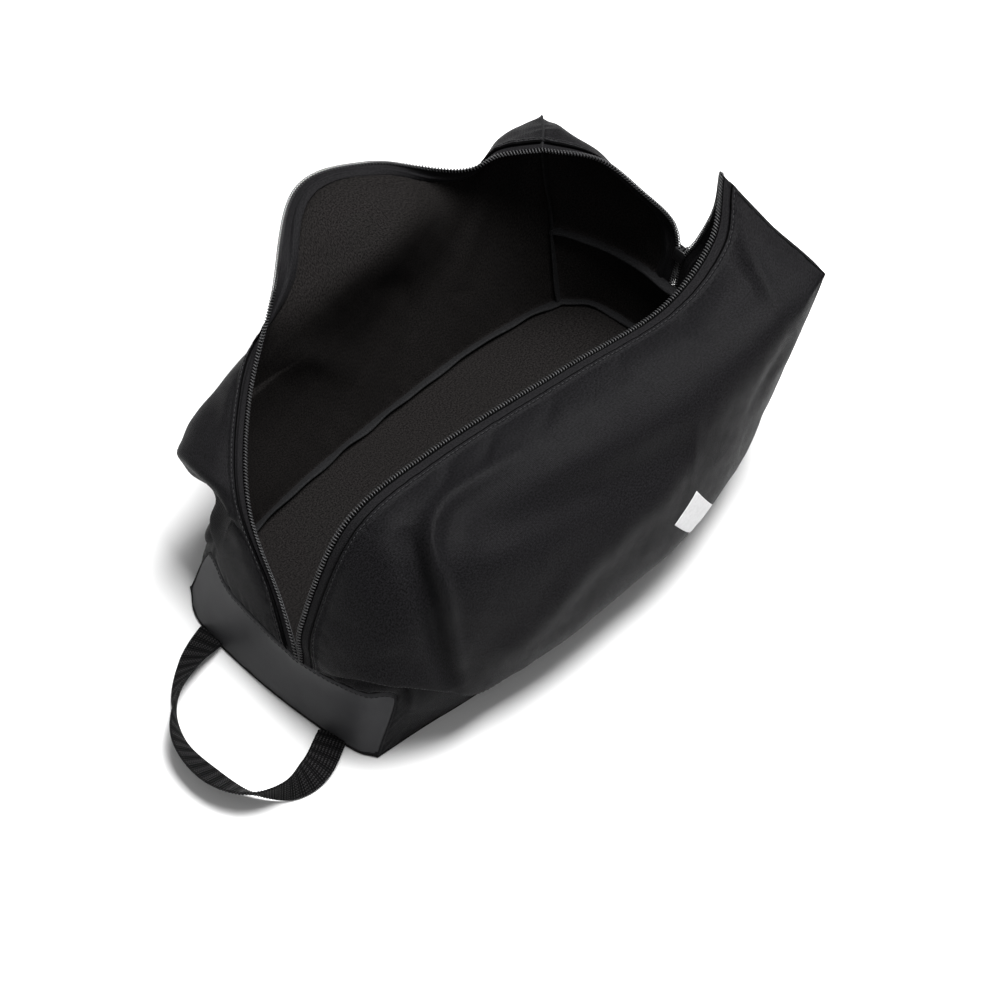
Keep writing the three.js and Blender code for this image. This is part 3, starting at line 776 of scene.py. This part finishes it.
def gusset_cloth(which, half, seed):
    """The far end of one half, between the zip, the top and corner seams and the far end panel."""
    side = half["side"]
    v = edge_spread(60)
    u = rows_from_edge(half["down_gusset"], v, HEM_ROWS[:-3], GUSSET_SHARES)
    points = half["down_gusset"](v[:, None], u)
    normals = grid_normals(points, side)
    across = arc(points, 1) + ZIP_REACH
    downward = arc(points, 0)
    to_corner = across[:, -1:] - across
    to_top = downward
    to_bottom = downward[-1:] - downward
    edges = np.minimum(np.minimum(to_corner, to_top), to_bottom)
    height = hem_profile(across)
    for distance in (to_corner, to_top, to_bottom):
        height = height + seam_roll(distance)
    calm = smoothstep(edges / 22) * smoothstep((across - ZIP_REACH - 5) / 20)
    height = height + calm * (1.8 * waves(points, 70, seed) + 0.5 * waves(points, 30, seed + 1))
    bulge = smoothstep(to_corner / 13) * smoothstep((across - ZIP_REACH) / 25)
    height = height + half["fullness"] * bulge * smoothstep(to_top / 11) * smoothstep(to_bottom / 40)
    height = height + pucker(downward, across - ZIP_REACH - STITCH_IN, seed + 2, 0.3)
    height = height + pucker(across, to_bottom, seed + 3, 0.6, 11, 9)
    height = height + pucker(across, to_top, seed + 4, 0.4)
    height = height * apex_calm(half, points)
    outer = points + normals * height[..., None]
    inner = outer - grid_normals(outer, side) * CLOTH
    # The first HEM_SHADED columns and their rim take the painted shade along the fold.
    obj = sheet(f"{which}_gusset_cloth", outer, inner, (BODY, LINING, ZIP_LINE_SHADE), side, (WEAVE_SHIFT, 0),
                HEM_SHADED)
    sewn(obj, "body_cloth", f"{which}_far_gusset")


# ------------------------------------------------------------------ zip
# Across the tape: distance from the coil's free edge and height over the surface of the cloth.
TAPE_REACHES = np.array([1.2, 1.9, 2.6, 3.4, 4.6, 6.0, 7.4, 8.3, 9.0, 10.2, 11.5, 13.0, 15.0])
TAPE_LIFTS = np.array([-0.9, -0.35, -0.15, -0.3, -0.4, -0.4, -0.4, -0.5, -1.9, -2.1, -1.7, -1.1, -0.8])
TAPE_SHADED = 3  # columns under and right beside the coil, painted near-black as shade


def zip_strip(half, reaches, step):
    """Lines at fixed distances from the free edge of the zip, along wall and gusset, with their normals.

    Every line has a point for each `step` millimetres of the free edge; the lengths come back too.
    """
    pieces = []
    for surface, count in ((half["wall"], 500), (half["down_gusset"], 220)):
        s = np.linspace(0, 1, count)
        t = rows_from_edge(surface, s, reaches)
        strip = surface(s[:, None], t)
        pieces.append((strip, grid_normals(strip, half["side"])))
    lines, normals = [np.concatenate([first, second[1:]]) for first, second in zip(*pieces)]
    length = arc(lines[:, 0])
    keep = np.concatenate([[True], np.diff(length) > 1e-6])
    even = np.arange(0, length[-1], step)
    at = np.interp(even, length[keep], np.flatnonzero(keep))
    low = np.minimum(at.astype(int), len(lines) - 2)
    share = (at - low)[:, None, None]
    lines = lines[low] * (1 - share) + lines[low + 1] * share
    return lines, unit(normals[low] * (1 - share) + normals[low + 1] * share), even


def zip_frames(half, step):
    """Evenly spaced frames along the free edge of the zip: point, way into the cloth, outside."""
    lines, normals, even = zip_strip(half, np.array([0, 3.0, 7.0, ZIP_REACH]), step)
    count = max(5, int(9 / step)) | 1  # an odd number of points, about 9 mm of the zip
    into = unit(smoothed(unit(lines[:, 3] - lines[:, 0]), count))
    out = unit(smoothed(normals[:, 1], count))
    out = unit(out - into * np.sum(out * into, -1, keepdims=True))
    return {"point": lines[:, 0], "into": into, "out": out, "length": even}


def zip_point(frames, reach, lift):
    """Points that far into the cloth and that high over it."""
    return frames["point"] + frames["into"] * reach + frames["out"] * lift


def zip_coil(which, half):
    """Coil of one half, wound round a core."""
    frames = zip_frames(half, COIL_PITCH / 12)
    angle = 2 * math.pi * frames["length"] / COIL_PITCH
    reach = (COIL_MIDDLE + COIL_HALF_WIDTH * np.cos(angle))[:, None]
    lift = (COIL_LIFT + COIL_HALF_HEIGHT * np.sin(angle))[:, None]
    wire = tube(zip_point(frames, reach, lift), COIL_WIRE, 5)
    sewn(new_object(f"coil_{which}", *wire, (COIL,)), "zip_coil", f"zip_coil_{which}")
    # The core is drawn near-black as painted shade between the coil's turns.
    cord = tube(zip_point(zip_frames(half, 1.0), CORE_REACH, COIL_LIFT), CORE_RADIUS, 8)
    sewn(new_object(f"coil_core_shade_{which}", *cord, (CORE_GAP_SHADE,)), "zip_coil")


def zip_tape(which, half):
    """Tape from under the coil to behind the hem, with a groove along the hem's fold."""
    lines, normals, _ = zip_strip(half, TAPE_REACHES, 1.0)
    outer = lines + normals * (TAPE_LIFTS[:, None] + 0.1 * waves(lines, 16, 40)[..., None])
    inner = outer - normals * TAPE_THICK
    # The first TAPE_SHADED columns take the near-black painted shade beside the coil.
    obj = sheet(f"tape_{which}", outer, inner, (TAPE, TAPE, ZIP_LINE_SHADE), half["side"], shaded=TAPE_SHADED)
    sewn(obj, "zip_tape", f"zip_tape_{which}")


def stitch_row(path, out, sink=0.1):
    """Separate arched stitches along a line on the cloth, sunk into it by `sink`."""
    at = arc(path)
    arch = (np.array([-0.35, 0.02, 0.16, 0.02, -0.35]) - sink)[:, None]
    parts = []
    for start in np.arange(1.0, at[-1] - STITCH_LENGTH, STITCH_PITCH):
        spots = start + STITCH_LENGTH * np.array([0, 0.12, 0.5, 0.88, 1])
        line = np.stack([np.interp(spots, at, path[:, k]) for k in range(3)], -1)
        up = np.stack([np.interp(spots, at, out[:, k]) for k in range(3)], -1)
        parts.append(tube(line + up * arch, STITCH_RADIUS, 6, True))
    return join_parts(parts)


def hem_stitches(which, half):
    """Topstitch that holds the tape, in the groove of the hem."""
    reach = ZIP_REACH + STITCH_IN
    lines, normals, _ = zip_strip(half, np.array([0, reach - 1.5, reach, reach + 1.5]), 1.2)
    path = lines[:, 2] + normals[:, 2] * (0.15 + hem_profile(reach))
    sewn(new_object(f"hem_stitches_{which}", *stitch_row(path, normals[:, 2]), (THREAD,)), "body_cloth")


# ------------------------------------------------------------------ coated panels and base
def across_halves(u, edge):
    """Line across the bag: `edge` gives each half's share, from 1 at the outer corner to 0 at the zip."""
    u = np.asarray(u, float)
    front = edge(HALVES["front"], np.clip((0.5 - u) / 0.5, 0, 1))
    back = edge(HALVES["back"], np.clip((u - 0.5) / 0.5, 0, 1))
    return np.where(u[..., None] < 0.5, front, back)


def near_top(u):
    """Top seam of the near end panel, from the front corner to the back corner."""
    return across_halves(u, lambda half, share: half["wall"](np.zeros_like(share), share * NEAR_CORNER_T))


def far_top(u):
    """Top seam of the far end panel, from the front corner to the back corner."""
    return across_halves(u, lambda half, share: half["gusset"](share, np.ones_like(share)))


def corner_line(which, s, from_t):
    """Lower end of a wall's edge, from `from_t` down to the foot, as a function of v from 0 to 1."""
    wall = HALVES[which]["wall"]
    return lambda v: wall(np.full_like(v, s), from_t + (1 - from_t) * v)


NEAR = coons(
    near_top, lambda u: along(NEAR_FOOT, u),
    corner_line("front", 0.0, NEAR_CORNER_T), corner_line("back", 0.0, NEAR_CORNER_T),
)
FAR = coons(
    far_top, lambda u: along(FAR_FOOT, u),
    corner_line("front", 1.0, FAR_CORNER_T), corner_line("back", 1.0, FAR_CORNER_T),
)


def end_panel(name, replaced, surface, side, seed):
    """Coated panel at one end, with a topstitch under its top seam."""
    u, v = edge_spread(150), edge_spread(46)
    points = surface(u[:, None], v[None, :])
    normals = grid_normals(points, side)
    across, down = arc(points, 0), arc(points, 1)
    edges = [across, across[-1:] - across, down, down[:, -1:] - down]
    nearest = np.minimum.reduce(edges)
    height = 0.8 * np.sin(math.pi * v)[None, :] * np.sin(math.pi * u)[:, None]
    for distance in edges:
        height = height + seam_roll(distance, 1.4, 1.6)
    calm = smoothstep(nearest / 14)
    height = height + calm * (0.45 * waves(points, 80, seed) + 0.12 * waves(points, 30, seed + 1))
    height = height + pucker(across, down, seed + 2, 0.35, 14, 7)
    height = height + pucker(across, edges[3], seed + 3, 0.3, 14, 6)
    outer = points + normals * height[..., None]
    inner = outer - grid_normals(outer, side) * COATED
    sewn(sheet(name, outer, inner, (COATED_CLOTH, LINING), side), "coated_cloth", replaced)
    row = np.abs(down.mean(0) - PANEL_STITCH_IN).argmin()
    thread = stitch_row(outer[4:-4, row], normals[4:-4, row], sink=-0.05)
    sewn(new_object(f"{name}_stitches", *thread, (THREAD,)), "coated_cloth")


def base_cloth():
    """Coated base: flat underneath, gently uneven inside."""
    surface = coons(
        lambda u: HALVES["front"]["wall"](u, np.ones_like(u)),
        lambda u: HALVES["back"]["wall"](u, np.ones_like(u)),
        lambda v: along(NEAR_FOOT, v),
        lambda v: along(FAR_FOOT, v),
    )
    u, v = edge_spread(120), edge_spread(70)
    points = surface(u[:, None], v[None, :])
    across, down = arc(points, 0), arc(points, 1)
    edge = np.minimum.reduce([across, across[-1:] - across, down, down[:, -1:] - down])
    top, under = points.copy(), points.copy()
    top[..., 2] = 2.2 + smoothstep(edge / 30) * 0.5 * (1 + waves(points, 80, 71))
    under[..., 2] = 0.9 * np.exp(-((edge / 1.2) ** 2))
    sewn(sheet("base_cloth", top, under, (LINING, COATED_CLOTH), 1), "coated_cloth", "base_panel")


# ------------------------------------------------------------------ bound seams inside
# Section of a bound seam: depths into the bag and half thickness at each; and the point they all face.
FIN_DEPTHS = np.array([0.4, 0.8, 1.4, 2.2, 3.5, 5.0, 6.4, 7.2, 7.6])
FIN_HALVES = np.array([0.4, 0.75, 0.95, 0.9, 1.05, 1.05, 1.0, 0.75, 0.3])
BAG_MIDDLE = np.array([0.0, 0, 70])


def seam_fin(name, line, *replaced, inward=None):
    """Bound seam allowance: it closes the seam and stands up along its inside."""
    if inward is None:
        inward = unit(BAG_MIDDLE - line)
    tangent = unit(np.gradient(line, axis=0))
    inward = unit(inward - tangent * np.sum(inward * tangent, -1, keepdims=True))
    across = np.cross(tangent, inward)
    lean = 1.2 * waves(line, 45, 61)[:, None] * (FIN_DEPTHS / FIN_DEPTHS[-1])[None, :] ** 2
    middle = line[:, None] + inward[:, None] * FIN_DEPTHS[None, :, None] + across[:, None] * lean[..., None]
    half = across[:, None] * FIN_HALVES[None, :, None]
    sewn(sheet(name, middle + half, middle - half, (BINDING, BINDING), -1), "binding_tape", *replaced)


def bound_seams():
    """Every seam of the bag; at the far corners the fins lie between wall and gusset."""
    down, level = np.linspace(0, 1, 90), np.linspace(0, 1, 240)
    corner_t = np.linspace(0.04, FAR_CORNER_T, 150)
    seam_fin("near_top_fin", near_top(level), "near_seam_binding")
    seam_fin("far_top_fin", far_top(level), "far_seam_binding")
    for which, half in HALVES.items():
        strip = half["wall"](np.array([0.97, 0.985, 1.0])[:, None], corner_t[None, :])
        half_way = -unit(grid_normals(strip, half["side"])[-1] + [1.0, 0, 0])
        inward = unit(smoothed(half_way, 25))
        corner = smoothed(strip[-1], 9)
        seam_fin(f"far_corner_fin_{which}", corner, f"far_corner_binding_{which}", inward=inward)
        seam_fin(f"near_end_fin_{which}", corner_line(which, 0.0, NEAR_CORNER_T)(down))
        seam_fin(f"far_end_fin_{which}", corner_line(which, 1.0, FAR_CORNER_T)(down))
        seam_fin(f"foot_fin_{which}", half["wall"](level, np.ones_like(level)) + [0, 0, 1.0])
    seam_fin("foot_fin_near", along(NEAR_FOOT, level) + [0, 0, 1.0])
    seam_fin("foot_fin_far", along(FAR_FOOT, level) + [0, 0, 1.0])


# ------------------------------------------------------------------ white patch
def on_cloth(s, t, cloth_s, cloth_t, outer):
    """Points of the finished cloth at parameters (s, t)."""
    at = np.interp(s, cloth_s, np.arange(len(cloth_s)))
    low = np.minimum(at.astype(int), len(cloth_s) - 2)
    points = np.zeros(s.shape + (3,))
    for row, share in ((low, 1 - (at - low)), (low + 1, at - low)):
        for spot in np.ndindex(s.shape):
            line = row[spot]
            found = [np.interp(t[spot], cloth_t[line], outer[line, :, k]) for k in range(3)]
            points[spot] += share[spot] * np.array(found)
    return points


def front_patch(cloth):
    """Plain white slanted bar on the front wall, a heat transfer that follows the cloth."""
    a, b = np.linspace(0, 1, 34)[:, None], np.linspace(0, 1, 44)[None, :]
    s, t = [start + side * a + end * b for start, side, end in zip(PATCH_CORNER, PATCH_ALONG, PATCH_DOWN)]
    points = on_cloth(s, t, *cloth)
    normals = grid_normals(points, HALVES["front"]["side"])
    obj = sheet("patch_print", points + normals * 0.35, points - normals * 0.2, (PRINT, PRINT), -1)
    sewn(obj, "patch_print", "front_patch")


# ------------------------------------------------------------------ slider, puller and stop
def rounded_box(low, high, bevel):
    """Verts and faces of a box with rounded edges."""
    made = bpy.data.meshes.new("box")
    size = (np.array(high) - np.array(low)).tolist()
    bm = bmesh.new()
    bmesh.ops.create_cube(bm, size=1, matrix=Matrix.Diagonal((*size, 1)))
    bmesh.ops.bevel(bm, geom=bm.edges[:], offset=bevel, segments=3, affect="EDGES", profile=0.5)
    bm.to_mesh(made)
    bm.free()
    verts = np.array([v.co for v in made.vertices]) + (np.array(low) + np.array(high)) / 2
    faces = [list(p.vertices) for p in made.polygons]
    bpy.data.meshes.remove(made)
    return verts, faces


def metal_piece(name, replaced, body, boxes, lean, at):
    """Piece of rounded boxes, leaned back by an angle about Y and moved to a point."""
    verts, faces = join_parts([rounded_box(*box) for box in boxes])
    turn = np.array(Matrix.Rotation(lean, 3, "Y"))
    obj = new_object(name, verts @ turn.T + at, faces, (METAL,))
    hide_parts(replaced)
    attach(obj, body)


def slider_pieces():
    """Slider, the puller that hangs from its bail, and the bottom stop."""
    pivot = SLIDER_AT + CROSSBAR_OUT * np.array([math.cos(RUN_LEAN), 0, -math.sin(RUN_LEAN)])
    metal_piece("slider_body", "zip_slider", "zip_slider", SLIDER_BOXES, RUN_LEAN, SLIDER_AT)
    metal_piece("puller_tab", "zip_puller", "zip_puller", PULLER_BOXES, 0.0, pivot)
    metal_piece("stop_clamp", "zip_bottom_stop", "bag", [STOP_BOX], RUN_LEAN, STOP_AT)


# ------------------------------------------------------------------ handle
def handle_loop():
    """Ribbed webbing with thin smooth selvedges, turned on edge along the middle of its loop."""
    fine = np.linspace(0, 1, 900)
    coarse = along(HANDLE_PATH[:, :3], fine)
    length = arc(coarse)
    even = np.arange(0, length[-1], RIB_PITCH / 6)
    middle = np.stack([np.interp(even, length, coarse[:, k]) for k in range(3)], -1)
    turn = np.radians(np.interp(even, length, along(HANDLE_PATH[:, 3:], fine)[:, 0]))[:, None]
    tangent = unit(np.gradient(middle, axis=0))
    flat = unit(np.cross([0.0, 0, 1], tangent))
    up = np.cross(tangent, flat)
    width = flat * np.cos(turn) + up * np.sin(turn)
    thick = np.cross(tangent, width)
    spread = WEB_WIDTH / 2 * np.sin(np.linspace(-1, 1, 41) * math.pi / 2)
    sway = 0.35 * np.sin(spread * 2 * math.pi / WARP_PITCH)[None, :]
    edge = np.exp(-(((np.abs(spread) - WEB_WIDTH / 2) / 0.9) ** 2))[None, :]
    rib = RIB_HEIGHT * np.sin(2 * math.pi * even[:, None] / RIB_PITCH + sway) * (1 - edge)
    half = WEB_THICK / 2 * (1 - 0.55 * edge)
    line = middle[:, None] + width[:, None] * spread[None, :, None]
    outer = line + thick[:, None] * (half + rib)[..., None]
    inner = line - thick[:, None] * (half - rib)[..., None]
    obj = sheet("webbing_loop", outer, inner, (WEBBING, WEBBING), -1)
    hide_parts("handle_webbing")
    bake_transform(obj)


# ------------------------------------------------------------------ stage, light and camera
def area_light(name, location, size, energy):
    data = bpy.data.lights.new(name, "AREA")
    data.size = size
    data.energy = energy
    lamp = bpy.data.objects.new(name, data)
    lamp.location = location
    lamp.rotation_euler = (Vector(LIGHT_AIM) - Vector(location)).to_track_quat("-Z", "Y").to_euler()
    bpy.context.scene.collection.objects.link(lamp)


def stage():
    """Pale floor, even white surroundings and two soft lamps."""
    material, _, shader = start_material("floor_white", 0.9)
    shader.inputs["Base Color"].default_value = (0.9, 0.9, 0.9, 1)
    corners = [[x * FLOOR_REACH, y * FLOOR_REACH, 0] for x, y in ((-1, -1), (1, -1), (1, 1), (-1, 1))]
    new_object("floor", corners, [[0, 1, 2, 3]], (material,))
    world = bpy.data.worlds.new("studio")
    world.use_nodes = True
    background = world.node_tree.nodes["Background"]
    background.inputs["Color"].default_value = (1, 1, 1, 1)
    background.inputs["Strength"].default_value = WORLD_STRENGTH
    bpy.context.scene.world = world
    bpy.context.scene.view_settings.view_transform = "Standard"
    area_light("key", (0.6, -0.1, 2.2), size=1.2, energy=115)
    area_light("fill", (-1.2, -1.5, 1.7), size=1.8, energy=5)


def camera():
    azimuth, elevation = math.radians(CAMERA_AZIMUTH), math.radians(CAMERA_ELEVATION)
    level = math.cos(elevation)
    back = Vector((math.sin(azimuth) * level, -math.cos(azimuth) * level, math.sin(elevation)))
    data = bpy.data.cameras.new("camera")
    data.sensor_width = SENSOR
    data.lens = LENS
    shot = bpy.data.objects.new("camera", data)
    shot.location = Vector(CAMERA_AIM) + back * CAMERA_DISTANCE
    shot.rotation_euler = (-back).to_track_quat("-Z", "Y").to_euler()
    bpy.context.scene.collection.objects.link(shot)
    bpy.context.scene.camera = shot


camera()
stage()

cloths = {}
for which, folds, overhang, seed in (
    ("front", FRONT_FOLDS, FRONT_OVERHANG, 10), ("back", BACK_FOLDS, BACK_OVERHANG, 50),
):
    half = HALVES[which]
    cloths[which] = wall_cloth(which, half, folds, overhang, seed)
    gusset_cloth(which, half, seed + 20)
    zip_tape(which, half)
    zip_coil(which, half)
    hem_stitches(which, half)

end_panel("near_coated", "near_end_panel", NEAR, 1, 90)
end_panel("far_coated", "far_end_panel", FAR, -1, 95)
bound_seams()
base_cloth()
front_patch(cloths["front"])
slider_pieces()
handle_loop()
